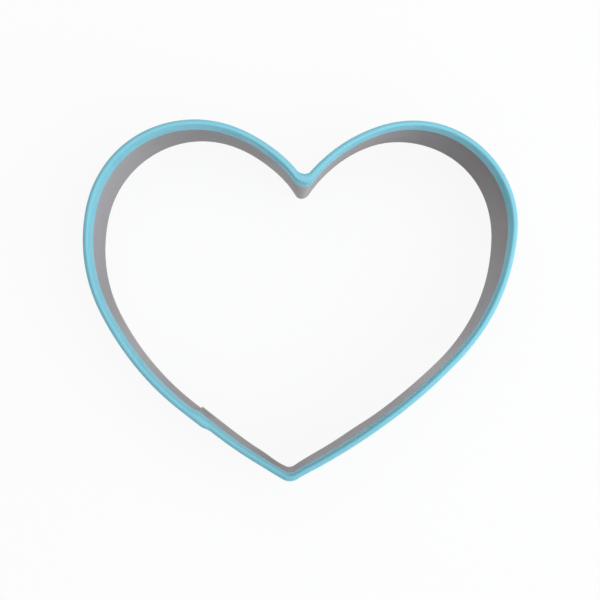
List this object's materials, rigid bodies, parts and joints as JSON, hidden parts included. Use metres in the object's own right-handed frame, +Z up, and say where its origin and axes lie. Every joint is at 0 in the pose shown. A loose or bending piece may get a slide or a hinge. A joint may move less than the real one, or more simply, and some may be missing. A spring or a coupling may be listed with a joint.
{
  "type": "cookie cutter",
  "caption": "Heart-shaped cookie cutter: a bent steel strip with lapped, spot-welded ends and a soft sky-blue plastic trim over its top edge.",
  "frame": {"origin": "middle of the footprint, on the plane of the cutting edge", "axes": "+Z up from the cutting edge to the trimmed edge, +Y from the tip to the lobes, +X to the right seen from above"},
  "size_m": [0.1, 0.0834, 0.025],
  "materials": {
    "strip_steel": "rolled stainless strip, satin",
    "sky_blue_plastic": "soft PVC, satin, sky blue",
    "weld_steel": "electrode mark, slightly heat tinted"
  },
  "bodies": {
    "root": {"cutter_band": "strip_steel", "rim_trim": "sky_blue_plastic", "spot_welds": "weld_steel"}
  },
  "joints": []
}
